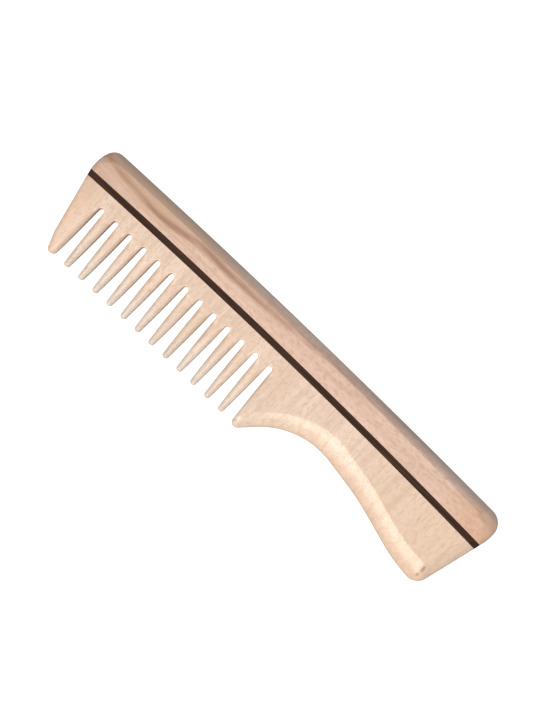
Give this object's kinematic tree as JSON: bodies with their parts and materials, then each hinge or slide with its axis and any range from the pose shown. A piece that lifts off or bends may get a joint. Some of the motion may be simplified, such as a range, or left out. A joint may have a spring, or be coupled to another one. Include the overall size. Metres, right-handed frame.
{
  "type": "hair comb",
  "caption": "Flat laminated wooden hair comb: wide tapered teeth, a wide guard tooth, a dark inlay along the back and a handle with a finger scoop.",
  "frame": {"origin": "under the middle of the comb, on the face it lies on", "axes": "+X from the guard tooth to the handle, +Y from the teeth to the back, +Z through the thickness"},
  "size_m": [0.181, 0.0415, 0.01],
  "materials": {
    "beech_spine": "fine sanded, lightly oiled, grain along the comb",
    "dark_inlay": "fine sanded, lightly oiled, dark brown",
    "beech_plate": "fine sanded, lightly oiled, grain along the teeth"
  },
  "bodies": {
    "root": {"spine_strip": "beech_spine", "dark_inlay_strip": "dark_inlay", "tooth_and_handle_plate": "beech_plate"}
  },
  "joints": []
}
